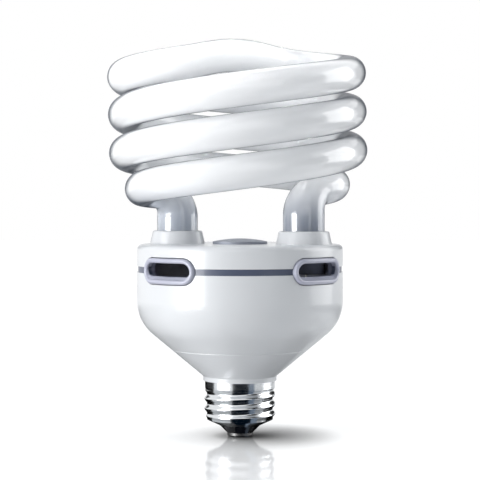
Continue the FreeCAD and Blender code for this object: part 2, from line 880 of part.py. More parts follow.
def fusible_resistor():
    """A resistor in a sleeve that stands on one lead, with the other one bent back up to the board."""
    (x, near), (_, far) = leads_along_y(fuse_spot, fuse_reach)
    low = board_z - fuse_length
    turn = low - fuse_loop
    body = cylinder(fuse_r, low, board_z, x, near)
    down = cylinder(lead_r, turn, low, x, near)
    across = block(2 * lead_r, far - near + 2 * lead_r, turn - 2 * lead_r, turn, x, (near + far) / 2)
    back = cylinder(lead_r, turn, board_top + lead_stub, x, far)
    return joined([body, down, across, back, lead(x, near)])


def ptc_thermistor():
    x, y = spot(ptc_spot)
    foot = Vector(x - ptc_thickness / 2, y, board_z - ptc_drop)
    disc = Part.makeCylinder(ptc_r, ptc_thickness, foot, Vector(1, 0, 0))
    return joined([disc] + [lead(px, py, ptc_drop / 2) for px, py in leads_along_y(ptc_spot, ptc_reach)])


def wire_wrap_pins():
    high = board_top + pin_height
    return side_by_side([block(pin_width, pin_width, board_z, high, x, y) for x, y in pin_places()])


def electrode_leads():
    """Each lead leaves the end of the tube and is wound round its pin."""
    parts = []
    low = board_top + wrap_low
    high = low + wrap_height
    for x, y in pin_places():
        wrap = cylinder(wrap_r, low, high, x, y)
        wire = cylinder(lead_r, (low + high) / 2, tube_end_z, x + pin_width / 2 + lead_r + wrap_gap, y)
        parts.append(joined([wrap, wire]).cut(block(pin_width, pin_width, low, high, x, y)))
    return side_by_side(parts)


def live_wire():
    """From the board past the main capacitor, down the cap's middle into the contact's rivet."""
    bulk_low = board_z - bulk_height
    return rounded_rod(wire_r, [
        Vector(0, -wire_reach, board_top + lead_stub), Vector(0, -wire_reach, board_z - bulk_height / 2),
        Vector(0, -wire_reach, bulk_low - wire_bend_gap),
        Vector(0, 0, cap_rim_z - spigot_length - wire_bend_gap),
        Vector(0, 0, cap_foot_z + insulator_height / 2 - wire_bend_gap), Vector(0, 0, contact_height),
    ])


def neutral_wire():
    """From the board down through the spigot to the inside of the cap's metal."""
    metal_r = thread_root_r - cap_metal
    land_z = thread_start_z + thread_pitch * (thread_ridges - 1)
    inside = cap_band_r - fit - wall - 2 * wire_r
    return rounded_rod(wire_r, [
        Vector(0, wire_reach, board_top + lead_stub), Vector(0, wire_reach, board_z - bulk_height / 2),
        Vector(0, inside, cap_rim_z + neck_height + wire_bend_gap),
        Vector(0, inside, cap_rim_z - spigot_length - wire_bend_gap), Vector(0, metal_r - wire_r, land_z),
    ])


def main():
    os.makedirs("parts", exist_ok=True)
    makers = [
        spiral_tube, tube_cement, upper_cover, vent_ring, centre_disc, lower_housing, screw_shell, cap_insulator,
        centre_contact, circuit_board, bulk_capacitor, choke_core, choke_bobbin, choke_winding, drive_toroid,
        drive_windings, power_transistors, film_capacitors, rectifier_diodes, resistors, filter_choke,
        fusible_resistor, ptc_thermistor, wire_wrap_pins, electrode_leads, live_wire, neutral_wire,
    ]
    for maker in makers:
        save(maker(), maker.__name__)


main()
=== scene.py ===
"""The looks of the spiral energy saving lamp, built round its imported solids, in metres."""

import json
import math

import bmesh
import bpy
from mathutils import Matrix, Vector

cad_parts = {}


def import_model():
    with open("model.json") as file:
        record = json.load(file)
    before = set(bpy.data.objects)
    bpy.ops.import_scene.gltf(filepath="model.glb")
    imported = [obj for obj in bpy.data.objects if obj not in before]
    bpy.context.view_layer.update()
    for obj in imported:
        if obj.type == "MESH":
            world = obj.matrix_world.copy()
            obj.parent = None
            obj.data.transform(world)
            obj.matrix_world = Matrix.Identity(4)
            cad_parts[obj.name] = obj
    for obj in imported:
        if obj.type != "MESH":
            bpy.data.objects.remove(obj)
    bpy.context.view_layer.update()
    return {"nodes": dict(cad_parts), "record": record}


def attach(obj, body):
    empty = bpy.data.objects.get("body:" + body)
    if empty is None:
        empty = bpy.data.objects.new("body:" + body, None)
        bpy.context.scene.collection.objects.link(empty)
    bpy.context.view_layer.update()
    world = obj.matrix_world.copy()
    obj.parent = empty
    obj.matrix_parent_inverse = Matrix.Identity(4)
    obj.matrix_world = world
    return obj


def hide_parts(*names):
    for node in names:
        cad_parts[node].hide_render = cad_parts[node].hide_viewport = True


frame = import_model()
nodes = frame["nodes"]

MM = 0.001

# The glass tube: its route is the solid's, and its radius a hair less so that it stays inside the solid
TUBE_R = 6.08 * MM
LEG_R = 7.6 * MM
COIL_RADIUS = 41.4 * MM
COIL_PITCH = 28.2 * MM
COIL_TURNS = 1.296
COIL_TOP_Z = 133.4 * MM
CROWN_Z = 140.5 * MM
CROWN_CREST = 12.0 * MM
CROSSING_ANGLE = 40.0
GLASS_LEAN = 1.3
GLASS_NOD = 1.7
RUN_IN_RADIUS = 33.0 * MM
TURN_IN_RADIUS = 14.0 * MM
TURN_IN_ANGLE = 52.0
BEND_RADIUS = 9.5 * MM
TUBE_END_Z = 60.5 * MM
LEAN_PIVOT_Z = 76.0 * MM

# How finely the tube is cut
TUBE_SIDES = 48
DEGREES_PER_STEP = 3
FEWEST_STEPS = 6
BEND_STEPS = 24
LEG_STEPS = 12

# The screw cap
CAP_RIM_Z = 20.8 * MM
CAP_METAL = 0.35 * MM
CREST_R = 13.15 * MM
ROOT_R = 12.2 * MM
PITCH = 3.63 * MM
THREAD_TURNS = 3.0
THREAD_LOW = 6.3 * MM
THREAD_START = THREAD_LOW + 0.1 * PITCH
THREAD_END = THREAD_LOW + THREAD_TURNS * PITCH + 0.35 * PITCH
THREAD_FADE = 0.45 * PITCH
BAND_R = 12.95 * MM
FOOT_R = 7.45 * MM
FOOT_Z = 4.1 * MM
CAP_SIDES = 120
ROWS_PER_PITCH = 16

# The lips round the vents
VENT_Z = 62.1 * MM
VENT_ANGLE = 46.1
VENT_TURN = 2.4
LIP_WIDTH = 23.2 * MM
LIP_HEIGHT = 7.5 * MM
LIP_R = 38.25 * MM
LIP_SECTION = 0.85 * MM
LIP_SIDES = 14
LIP_ARC_STEPS = 12
LIP_SIDE_STEPS = 10

# Where a finish changes, from one height or distance to another
GREY_LEG_Z = (77.0 * MM, 96.0 * MM)
# Across this span the grey of the legs turns darker towards the right leg: painted shade.
RIGHT_LEG_PAINTED_SHADE_X = (-10.0 * MM, 10.0 * MM)
SEALED_END_Z = (66.0 * MM, 66.8 * MM)
BOWL_INSIDE_R = (35.5 * MM, 36.1 * MM)
BOWL_INSIDE_LOW_Z = (52.0 * MM, 53.0 * MM)
BOWL_INSIDE_HIGH_Z = (68.9 * MM, 69.1 * MM)
BEZEL_FACE_R = (37.55 * MM, 37.95 * MM)
FUNNEL_R = (36.2 * MM, 36.8 * MM)
FUNNEL_HALF_HEIGHT = (1.3 * MM, 1.6 * MM)
VENT_INSIDE_R = (35.5 * MM, 36.8 * MM)

# The camera
CAMERA_DISTANCE = 0.58
CAMERA_Z = 0.086
AIM_Z = 0.0726
LENS = 117.7


# Nodes


class Value:
    """A socket's value, with Python's operators for maths on numbers."""

    def __init__(self, owner, socket):
        self.owner = owner
        self.socket = socket

    def math(self, operation, *others):
        values = dict(enumerate((self,) + others))
        return self.owner.node("ShaderNodeMath", {"operation": operation}, values)

    def __add__(self, other):
        return self.math("ADD", other)

    def __sub__(self, other):
        return self.math("SUBTRACT", other)

    def __rsub__(self, other):
        return self.math("MULTIPLY", -1.0).math("ADD", other)

    def __mul__(self, other):
        return self.math("MULTIPLY", other)

    __radd__ = __add__
    __rmul__ = __mul__

    def power(self, exponent):
        return self.math("POWER", exponent)

    def absolute(self):
        return self.math("ABSOLUTE")

    def most(self, other):
        return self.math("MAXIMUM", other)

    def rise(self, low, high):
        """0 below low, 1 above high, smooth between."""
        sockets = {"Value": self, "From Min": low, "From Max": high}
        return self.owner.node("ShaderNodeMapRange", {"interpolation_type": "SMOOTHSTEP"}, sockets)


class Nodes:
    """A node tree, with one method for any node in it."""

    def __init__(self, tree):
        self.tree = tree
        tree.nodes.clear()

    def node(self, kind, settings=None, sockets=None, out=0):
        """A node with its settings, and the values or links of its sockets: gives one of its outputs."""
        made = self.tree.nodes.new(kind)
        for key, value in (settings or {}).items():
            setattr(made, key, value)
        for key, value in (sockets or {}).items():
            if isinstance(value, Value):
                self.tree.links.new(value.socket, made.inputs[key])
            else:
                made.inputs[key].default_value = value
        return Value(self, made.outputs[out])

    def outputs(self, kind, names, sockets=None):
        """Several outputs of one node."""
        made = self.node(kind, None, sockets).socket.node
        return [Value(self, made.outputs[name]) for name in names]

    def end(self, kind, value):
        """The node that ends the tree."""
        last = self.tree.nodes.new(kind)
        self.tree.links.new(value.socket, last.inputs[0])


class Finish(Nodes):
    """A material under construction."""

    def __init__(self, name):
        self.material = bpy.data.materials.new(name)
        self.material.use_nodes = True
        super().__init__(self.material.node_tree)

    def place(self):
        """Object coordinates."""
        return self.node("ShaderNodeTexCoord", out="Object")

    def parts_of(self, vector):
        return self.outputs("ShaderNodeSeparateXYZ", "XYZ", {0: vector})

    def radius_and_height(self):
        """Distance from the lamp's axis, and the height."""
        x, y, z = self.parts_of(self.place())
        return (x * x + y * y).power(0.5), z

    def noise(self, scale, detail=3.0, vector=None):
        sockets = {"Vector": vector or self.place(), "Scale": scale, "Detail": detail, "Roughness": 0.5}
        return self.node("ShaderNodeTexNoise", None, sockets)

    def mix(self, factor, low, high):
        """A colour between two colours."""
        low, high = [c if isinstance(c, Value) else (*c, 1.0) for c in (low, high)]
        return self.node("ShaderNodeMix", {"data_type": "RGBA"}, {0: factor, 6: low, 7: high}, out=2)

    def bump(self, height, strength, distance):
        sockets = {"Height": height, "Strength": strength, "Distance": distance}
        return self.node("ShaderNodeBump", None, sockets)

    def principled(self, **sockets):
        """A Principled shader: a tuple is a colour without its alpha, and a list is a plain vector."""
        names = {key.replace("_", " ").title().replace("Ior", "IOR"): value for key, value in sockets.items()}
        names = {key: (*v, 1.0) if isinstance(v, tuple) else v for key, v in names.items()}
        return self.node("ShaderNodeBsdfPrincipled", None, names)

    def done(self, shader):
        self.end("ShaderNodeOutputMaterial", shader)
        return self.material


# The finishes


def tube_glass():
    """Clear glass over a white coating, with painted shade along its edges and grey in the legs near the
    electrodes.

    The right leg is painted darker than the left, as painted shade.
    """
    f = Finish("tube_glass")
    across, _, z = f.parts_of(f.place())
    cloud = f.noise(14.0, 2.0)
    facing = f.node("ShaderNodeLayerWeight", None, {"Blend": 0.5}, out=1)
    # Painted shade along the edges: the base colour darkens where the surface turns away from the view,
    # standing in for dark surroundings seen through the clear glass wall.
    edge = facing.rise(0.7, 0.88) * 0.9
    near_electrode = (1 - z.rise(*GREY_LEG_Z)) * 0.9
    # The legs' sealed glass ends in the bowl: dark slate, partly their own clear glass and partly painted
    # shade for the shaded inside of the bowl seen through the vents.
    sealed_end_and_painted_shade = 1 - z.rise(*SEALED_END_Z)
    white = f.mix(cloud, (0.85, 0.86, 0.875), (0.89, 0.895, 0.905))
    # Electrode grey on the left leg, painted darker on the right leg as painted shade.
    grey = f.mix(across.rise(*RIGHT_LEG_PAINTED_SHADE_X), (0.41, 0.45, 0.52), (0.23, 0.26, 0.32))
    coated = f.mix(near_electrode, white, grey)
    coated = f.mix(sealed_end_and_painted_shade, coated, (0.2, 0.215, 0.29))
    colour = f.mix(edge, coated, (0.03, 0.04, 0.06))
    wave = f.bump(f.noise(38.0, 1.0), 0.1, 0.001)
    return f.done(f.principled(
        base_color=colour, roughness=0.4, normal=wave, specular_ior_level=0.1, subsurface_weight=0.7,
        subsurface_radius=[1.0, 1.0, 1.0], subsurface_scale=0.012, coat_weight=(1 - edge) * (1 - sealed_end_and_painted_shade),
        coat_roughness=0.02, coat_ior=1.65,
    ))


def housing_plastic():
    """Glossy white plastic with a very fine moulded grain and a few dull patches, painted bluish grey inside
    the bowl as painted shade.
    """
    f = Finish("housing_plastic")
    grain = f.noise(1900.0, 2.0)
    patch = f.noise(26.0, 3.0)
    radius, z = f.radius_and_height()
    # Painted shade: the white plastic inside the bowl is coloured bluish grey where little light reaches it.
    between = z.rise(*BOWL_INSIDE_LOW_Z) * (1 - z.rise(*BOWL_INSIDE_HIGH_Z))
    inside = (1 - radius.rise(*BOWL_INSIDE_R)) * between
    white = f.mix(patch, (0.69, 0.705, 0.725), (0.72, 0.73, 0.745))
    return f.done(f.principled(
        base_color=f.mix(inside, white, (0.62, 0.64, 0.76)), roughness=patch * 0.08 + 0.3,
        normal=f.bump(grain, 0.06, 0.0002), coat_weight=0.4, coat_roughness=0.14,
    ))


def vent_plastic():
    """Slate grey on the band, pale on the faces and funnels of the bezels, and between the two inside the
    vents as painted shade.
    """
    f = Finish("vent_plastic")
    radius, z = f.radius_and_height()
    front = radius.rise(*BEZEL_FACE_R)
    funnel = (z - VENT_Z).absolute().rise(*FUNNEL_HALF_HEIGHT) * radius.rise(*FUNNEL_R)
    face = 1 - (1 - front) * (1 - funnel)
    # Painted shade: the vent ring's inner faces, deep in the vents, are coloured darker and bluer than the
    # bezels.
    inside = 1 - radius.rise(*VENT_INSIDE_R)
    grain = f.noise(1500.0, 2.0)
    patch = f.noise(60.0, 2.0)
    slate = f.mix(patch, (0.075, 0.09, 0.145), (0.09, 0.105, 0.16))
    pale = f.mix(patch, (0.45, 0.46, 0.56), (0.5, 0.51, 0.6))
    return f.done(f.principled(
        base_color=f.mix(inside, f.mix(face, slate, pale), (0.32, 0.335, 0.44)), roughness=patch * 0.1 + 0.28,
        normal=f.bump(grain, 0.08, 0.0002), coat_weight=0.2, coat_roughness=0.1,
    ))


def disc_plastic():
    """Satin silver grey lacquer."""
    f = Finish("disc_plastic")
    flake = f.noise(4200.0, 1.0)
    return f.done(f.principled(
        base_color=f.mix(flake, (0.26, 0.28, 0.33), (0.34, 0.36, 0.41)), metallic=0.5, roughness=0.56,
        normal=f.bump(flake, 0.05, 0.0001), coat_weight=0.1, coat_roughness=0.3,
    ))


def cap_nickel():
    """Polished nickel with fine rolling lines round it and a few duller smudges."""
    f = Finish("cap_nickel")
    stretched = f.node("ShaderNodeMapping", None, {"Vector": f.place(), "Scale": (1.0, 1.0, 90.0)})
    lines = f.noise(40.0, 3.0, vector=stretched)
    smudge = f.noise(120.0, 3.0)
    return f.done(f.principled(
        base_color=f.mix(smudge, (0.72, 0.745, 0.77), (0.8, 0.82, 0.84)), metallic=1.0,
        roughness=smudge * 0.08 + 0.14, normal=f.bump(lines, 0.03, 0.0002),
    ))


def simple(name, low, high, scale, **sockets):
    """A finish whose colour wanders between two tones, with a slight grain."""
    f = Finish(name)
    tone = f.noise(scale, 3.0)
    grain = f.bump(f.noise(scale * 12, 2.0), 0.15, 0.0002)
    return f.done(f.principled(base_color=f.mix(tone, low, high), normal=grain, **sockets))


def winding(name, low, high, scale, **sockets):
    """Enamelled wire, told by bands across the height."""
    f = Finish(name)
    waves = f.node("ShaderNodeTexWave", {"wave_type": "BANDS", "bands_direction": "Z"}, {
        "Vector": f.place(), "Scale": scale, "Distortion": 0.6, "Detail": 1.0}, out=1)
    turns = f.bump(waves, 0.8, 0.0003)
    return f.done(f.principled(base_color=f.mix(waves, low, high), normal=turns, **sockets))


finishes = {
    "tube_glass": tube_glass(),
    "cement": simple("cement", (0.66, 0.66, 0.64), (0.78, 0.78, 0.76), 300.0, roughness=0.85),
    "housing_plastic": housing_plastic(),
    "vent_plastic": vent_plastic(),
    "disc_plastic": disc_plastic(),
    "cap_nickel": cap_nickel(),
    "black_glass": simple(
        "black_glass", (0.006, 0.006, 0.008), (0.015, 0.015, 0.02), 160.0, roughness=0.12,
        coat_weight=1.0, coat_roughness=0.03),
    # The contact is coloured dark grey metal, darker than its tinned brass, as painted shade for its place in
    # the shadow under the cap.
    "contact_metal": simple(
        "contact_metal", (0.12, 0.12, 0.12), (0.2, 0.2, 0.2), 500.0, roughness=0.42, metallic=1.0),
    "board_laminate": simple("board_laminate", (0.3, 0.17, 0.05), (0.42, 0.26, 0.09), 400.0, roughness=0.5),
    "capacitor_sleeve": simple(
        "capacitor_sleeve", (0.01, 0.012, 0.02), (0.02, 0.024, 0.04), 200.0, roughness=0.3),
    "ferrite": simple("ferrite", (0.03, 0.03, 0.032), (0.06, 0.06, 0.062), 900.0, roughness=0.65),
    "bobbin_plastic": simple(
        "bobbin_plastic", (0.015, 0.015, 0.015), (0.03, 0.03, 0.03), 500.0, roughness=0.45),
    "copper_winding": winding(
        "copper_winding", (0.3, 0.09, 0.03), (0.62, 0.25, 0.1), 100.0, metallic=1.0, roughness=0.3,
        coat_weight=0.5),
    "black_epoxy": simple("black_epoxy", (0.01, 0.01, 0.011), (0.024, 0.024, 0.026), 900.0, roughness=0.5),
    "film_coating": simple(
        "film_coating", (0.2, 0.02, 0.01), (0.33, 0.05, 0.02), 200.0, roughness=0.25, coat_weight=0.5),
    "resistor_coating": simple(
        "resistor_coating", (0.32, 0.26, 0.13), (0.45, 0.38, 0.2), 300.0, roughness=0.35),
    "ptc_coating": simple("ptc_coating", (0.2, 0.1, 0.02), (0.3, 0.17, 0.04), 400.0, roughness=0.6),
    "tinned_wire": simple(
        "tinned_wire", (0.5, 0.5, 0.49), (0.68, 0.68, 0.67), 900.0, roughness=0.3, metallic=1.0),
    "wire_insulation": simple(
        "wire_insulation", (0.012, 0.012, 0.014), (0.025, 0.025, 0.028), 500.0, roughness=0.45),
}

for part in frame["record"]["subparts"]:
    mesh = nodes[part["node"]].data
    mesh.materials.clear()
    mesh.materials.append(finishes[part["material_slot"]])


# Pieces


class Recipe(Nodes):
    """A geometry tree with named inputs."""

    def __init__(self, name, inputs):
        super().__init__(bpy.data.node_groups.new(name, "GeometryNodeTree"))
        sockets = self.tree.interface
        sockets.new_socket("Geometry", in_out="INPUT", socket_type="NodeSocketGeometry")
        for label, kind, value in inputs:
            sockets.new_socket(label, in_out="INPUT", socket_type=kind).default_value = value
        sockets.new_socket("Geometry", in_out="OUTPUT", socket_type="NodeSocketGeometry")
        given = self.tree.nodes.new("NodeGroupInput")
        self.given = {socket.name: Value(self, socket) for socket in given.outputs if socket.name}

    def join(self, geometries):
        gather = self.tree.nodes.new("GeometryNodeJoinGeometry")
        for geometry in geometries:
            self.tree.links.new(geometry.socket, gather.inputs[0])
        return Value(self, gather.outputs[0])

    def done(self, geometry, material):
        real = self.node("GeometryNodeRealizeInstances", None, {0: geometry})
        coated = self.node("GeometryNodeSetMaterial", None, {"Geometry": real, "Material": material})
        self.end("NodeGroupOutput", coated)
        return self.tree


def settle(piece, slot):
    """Gives a piece the finish that its slot names, and its body."""
    piece.data.materials.clear()
    piece.data.materials.append(finishes[slot])
    piece.data.shade_smooth()
    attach(piece, "root")
    return piece


def linked(name, data):
    """An object in the scene, with its mesh, lamp or camera."""
    made = bpy.data.objects.new(name, data)
    bpy.context.scene.collection.objects.link(made)
    return made


def mesh_from(name, bm):
    """A mesh with what was built in bm, which ends there."""
    mesh = bpy.data.meshes.new(name)
    bm.to_mesh(mesh)
    bm.free()
    return mesh


def line_mesh(name, points, edges):
    mesh = bpy.data.meshes.new(name)
    mesh.from_pydata(points, edges, [])
    return mesh


def piece_from(tree, name, mesh, slot, **sizes):
    """A plain mesh piece: the tree run once on a mesh, with its named inputs set."""
    source = linked(name + "_source", mesh)
    modifier = source.modifiers.new("build", "NODES")
    modifier.node_group = tree
    for item in tree.interface.items_tree:
        if item.in_out == "INPUT" and item.name in sizes:
            modifier[item.identifier] = sizes[item.name]
    source.update_tag()
    graph = bpy.context.evaluated_depsgraph_get()
    graph.update()
    made = bpy.data.meshes.new_from_object(source.evaluated_get(graph))
    made.name = name
    bpy.data.objects.remove(source)
    return settle(linked(name, made), slot)


# The spiral tube


def plan_arcs():
    """The crown's radius, then the radius and angle of each arc of one strand seen from above.

    The arcs run from the crossing to the leg, and all turn clockwise.
    """
    sine = math.sin(math.radians(CROSSING_ANGLE))
    crown_radius = COIL_RADIUS * sine / (1 + sine)
    run_in = 180 - 360 * COIL_TURNS % 360
    return crown_radius, [
        (crown_radius, 90 + CROSSING_ANGLE), (COIL_RADIUS, 360 * COIL_TURNS), (RUN_IN_RADIUS, run_in),
        (TURN_IN_RADIUS, TURN_IN_ANGLE),
    ]


def strand_height(length, straight, crown_radius):
    """Height along the strand and its slope: a crest on the axis, then ever more gently down to the coil."""
    slope = COIL_PITCH / (2 * math.pi * COIL_RADIUS)
    crown = straight + crown_radius * math.radians(90 + CROSSING_ANGLE)
    flank = crown - CROWN_CREST
    steepest = (2 * (CROWN_Z - COIL_TOP_Z) - slope * flank) / crown
    if length <= CROWN_CREST:
        fall = steepest * length / CROWN_CREST
        return CROWN_Z - fall * length / 2, -fall
    if length <= crown:
        fall = steepest + (slope - steepest) * (length - CROWN_CREST) / flank
        drop = steepest * CROWN_CREST / 2 + (steepest + fall) / 2 * (length - CROWN_CREST)
        return CROWN_Z - drop, -fall
    return COIL_TOP_Z - slope * (length - crown), -slope


def leg(place, heading):
    """Points and radii from the end of a strand, round the bend and straight down into the bowl."""
    down = Vector((0, 0, -1))
    bend = heading.angle(down)
    axis = heading.cross(down).normalized()
    inward = axis.cross(heading)
    centre = place + inward * BEND_RADIUS
    points = []
    radii = []
    for i in range(BEND_STEPS + 1):
        t = i / BEND_STEPS
        points.append(centre + Matrix.Rotation(bend * t, 3, axis) @ (place - centre))
        radii.append(TUBE_R + (LEG_R - TUBE_R) * t * t * (3 - 2 * t))
    top = points[-1]
    for i in range(1, LEG_STEPS + 1):
        points.append(Vector((top.x, top.y, top.z + (TUBE_END_Z - top.z) * i / LEG_STEPS)))
        radii.append(LEG_R)
    return points, radii


def strand(side):
    """Points down one strand of the tube, from the crown's middle to the end of its leg, and its radii."""
    crown_radius, arcs = plan_arcs()
    course = math.radians(CROSSING_ANGLE)
    straight = crown_radius / math.tan(course)
    stretches = [(0.0, straight, FEWEST_STEPS)]
    for radius, angle in arcs:
        count = max(FEWEST_STEPS, round(angle / DEGREES_PER_STEP))
        stretches.append((1 / radius, radius * math.radians(angle), count))
    pivot = Vector((0, 0, LEAN_PIVOT_Z))
    nod = Matrix.Rotation(math.radians(GLASS_NOD), 3, "X")
    lean = Matrix.Rotation(-math.radians(GLASS_LEAN), 3, "Y") @ nod
    x = y = run = 0.0
    points = []
    for curl, length, count in stretches:
        bit = length / count
        turn = curl * bit / 2
        chord = bit if turn == 0 else 2 / curl * math.sin(turn)
        for _ in range(count):
            z, _ = strand_height(run, straight, crown_radius)
            points.append(pivot + lean @ (Vector((side * x, side * y, z)) - pivot))
            course -= turn
            x += chord * math.cos(course)
            y += chord * math.sin(course)
            course -= turn
            run += bit
    z, fall = strand_height(run, straight, crown_radius)
    place = pivot + lean @ (Vector((side * x, side * y, z)) - pivot)
    heading = lean @ Vector((side * math.cos(course), side * math.sin(course), fall))
    heading.normalize()
    leg_points, leg_radii = leg(place, heading)
    return points + leg_points, [TUBE_R] * len(points) + leg_radii


def tube_tree():
    """A round tube along the mesh's line, as thick as the line's tube_radius says."""
    g = Recipe("tube_along_line", [("Sides", "NodeSocketInt", TUBE_SIDES)])
    line = g.node("GeometryNodeMeshToCurve", None, {0: g.given["Geometry"]})
    radius = g.node("GeometryNodeInputNamedAttribute", {"data_type": "FLOAT"}, {"Name": "tube_radius"})
    swelling = g.node("GeometryNodeSetCurveRadius", None, {"Curve": line, "Radius": radius})
    ring = g.node("GeometryNodeCurvePrimitiveCircle", None, {"Resolution": g.given["Sides"], "Radius": 1.0})
    skin = g.node("GeometryNodeCurveToMesh", None, {
        "Curve": swelling, "Profile Curve": ring, "Fill Caps": True})
    # Where this node has a socket for scale, it doesn't take the line's own radius
    scale = skin.socket.node.inputs.get("Scale")
    if scale is not None:
        g.tree.links.new(radius.socket, scale)
    return g.done(skin, finishes["tube_glass"])


def spiral_glass():
    """The whole tube, from the left leg's end over the crown to the right leg's end."""
    right, right_radii = strand(1)
    left, left_radii = strand(-1)
    points = left[::-1] + right[1:]
    line = line_mesh("line", points, [(i, i + 1) for i in range(len(points) - 1)])
    radii = line.attributes.new("tube_radius", "FLOAT", "POINT").data
    radii.foreach_set("value", left_radii[::-1] + right_radii[1:])
    return piece_from(tube_tree(), "spiral_glass", line, "tube_glass")


glass = spiral_glass()
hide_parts("spiral_tube")


# The screw cap, with its thread as a true helix


def cap_profile(z):
    """Radius of the cap without its thread at a height."""
    if z < THREAD_LOW:
        return FOOT_R + (ROOT_R - FOOT_R) * (z - FOOT_Z) / (THREAD_LOW - FOOT_Z)
    top = THREAD_LOW + THREAD_TURNS * PITCH
    if z < top:
        return ROOT_R
    return min(BAND_R, ROOT_R + (z - top))


def thread_fade(distance):
    """0 at an end of the thread, 1 from a little way in."""
    return min(1.0, max(0.0, distance / THREAD_FADE))


def cap_radius(z, turn):
    """Radius of the cap with its thread, at a height and a share of a full turn."""
    base = cap_profile(z)
    if z < THREAD_LOW:
        return base
    wave = 0.5 - 0.5 * math.cos(2 * math.pi * ((z - THREAD_START) / PITCH - turn))
    lift = (CREST_R - ROOT_R) * wave * thread_fade(z - THREAD_START) * thread_fade(THREAD_END - z)
    return max(base, ROOT_R + lift)


def cap_heights():
    """Heights of the cap's rows, close together where the thread is."""
    heights = [FOOT_Z, FOOT_Z + 0.5 * MM, FOOT_Z + 1.4 * MM]
    z = THREAD_LOW - 0.2 * MM
    while z < THREAD_END + 0.9 * MM:
        heights.append(z)
        z += PITCH / ROWS_PER_PITCH
    return heights + [THREAD_END + 1.2 * MM, CAP_RIM_Z - 0.5 * MM, CAP_RIM_Z - 0.1 * MM, CAP_RIM_Z]


def screw_cap():
    """Thin rolled metal: one closed wall, up the outside and down the inside."""
    heights = cap_heights()
    bm = bmesh.new()
    rows = []
    for inset, course in ((0.0, heights), (CAP_METAL, heights[::-1])):
        for z in course:
            row = []
            for i in range(CAP_SIDES):
                turn = i / CAP_SIDES
                angle = 2 * math.pi * turn
                radius = cap_radius(z, turn) - inset
                row.append(bm.verts.new((radius * math.cos(angle), radius * math.sin(angle), z)))
            rows.append(row)
    for low, high in zip(rows, rows[1:] + rows[:1]):
        for i in range(CAP_SIDES):
            j = (i + 1) % CAP_SIDES
            bm.faces.new((low[i], low[j], high[j], high[i]))
    bmesh.ops.recalc_face_normals(bm, faces=bm.faces)
    return settle(linked("screw_cap", mesh_from("screw_cap", bm)), "cap_nickel")


cap = screw_cap()
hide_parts("screw_shell")


# The rolled lips of the four bezels


def lip_tree():
    """Copies a lip's line to each vent's angle and gives it a round section."""
    g = Recipe("vent_lips", [
        ("Section Radius", "NodeSocketFloat", LIP_SECTION), ("Sides", "NodeSocketInt", LIP_SIDES),
        ("Half Angle", "NodeSocketFloat", math.radians(VENT_ANGLE)),
        ("Turn", "NodeSocketFloat", math.radians(VENT_TURN)),
    ])
    line = g.node("GeometryNodeMeshToCurve", None, {0: g.given["Geometry"]})
    section = g.node("GeometryNodeCurvePrimitiveCircle", None, {
        "Resolution": g.given["Sides"], "Radius": g.given["Section Radius"]})
    lip = g.node("GeometryNodeCurveToMesh", None, {"Curve": line, "Profile Curve": section})
    copies = []
    for base in (0.0, math.pi):
        for side in (-1.0, 1.0):
            angle = g.given["Half Angle"].math("MULTIPLY_ADD", side, g.given["Turn"]) + base
            turned = g.node("ShaderNodeCombineXYZ", None, {"Z": angle})
            copies.append(g.node("GeometryNodeTransform", None, {"Geometry": lip, "Rotation": turned}))
    return g.done(g.join(copies), finishes["vent_plastic"])


def lip_line():
    """The middle line of the front lip: an obround laid on the housing's round wall."""
    half = (LIP_WIDTH - LIP_HEIGHT) / 2
    end = LIP_HEIGHT / 2
    right_half = []
    for i in range(LIP_ARC_STEPS + 1):
        angle = math.pi / 2 - math.pi * i / LIP_ARC_STEPS
        right_half.append((half + end * math.cos(angle), end * math.sin(angle)))
    for i in range(1, LIP_SIDE_STEPS):
        right_half.append((half - 2 * half * i / LIP_SIDE_STEPS, -end))
    points = []
    for across, up in right_half + [(-across, -up) for across, up in right_half]:
        depth = math.sqrt(LIP_R ** 2 - across ** 2)
        points.append((across, -depth, VENT_Z + up))
    return line_mesh("lip_line", points, [(i, (i + 1) % len(points)) for i in range(len(points))])


piece_from(lip_tree(), "bezel_lips", lip_line(), "vent_plastic", **{
    "Section Radius": LIP_SECTION, "Half Angle": math.radians(VENT_ANGLE), "Turn": math.radians(VENT_TURN)})


# Floor, world, lights and camera


def floor():
    """A pale glossy floor with a painted shadow, dark where the lamp stands between it and the left-hand
    light.
    """
    bm = bmesh.new()
    bmesh.ops.create_grid(bm, x_segments=1, y_segments=1, size=3.0)
    mesh = mesh_from("floor", bm)
    piece = linked("floor", mesh)
    f = Finish("floor")
    # Painted shadow: ambient occlusion leaning towards the left mixes the floor into dark, on top of the
    # lamps' real shadows.
    up_left = f.node("ShaderNodeCombineXYZ", None, {"X": -0.78, "Y": -0.05, "Z": 0.62})
    opened = f.node("ShaderNodeAmbientOcclusion", {"samples": 16}, {
        "Distance": 0.027, "Normal": up_left}, out=1).power(2.1)
    pale = f.principled(base_color=(0.8, 0.8, 0.8), roughness=0.07, ior=1.4)
    seen = f.node("ShaderNodeLightPath", out="Is Camera Ray")
    glow = f.node("ShaderNodeEmission", None, {"Strength": seen * 0.25})
    lit = f.node("ShaderNodeAddShader", None, {0: pale, 1: glow})
    dark = f.node("ShaderNodeBsdfDiffuse", None, {"Color": (0.02, 0.02, 0.02, 1.0)})
    mesh.materials.append(f.done(f.node("ShaderNodeMixShader", None, {0: opened, 1: dark, 2: lit})))


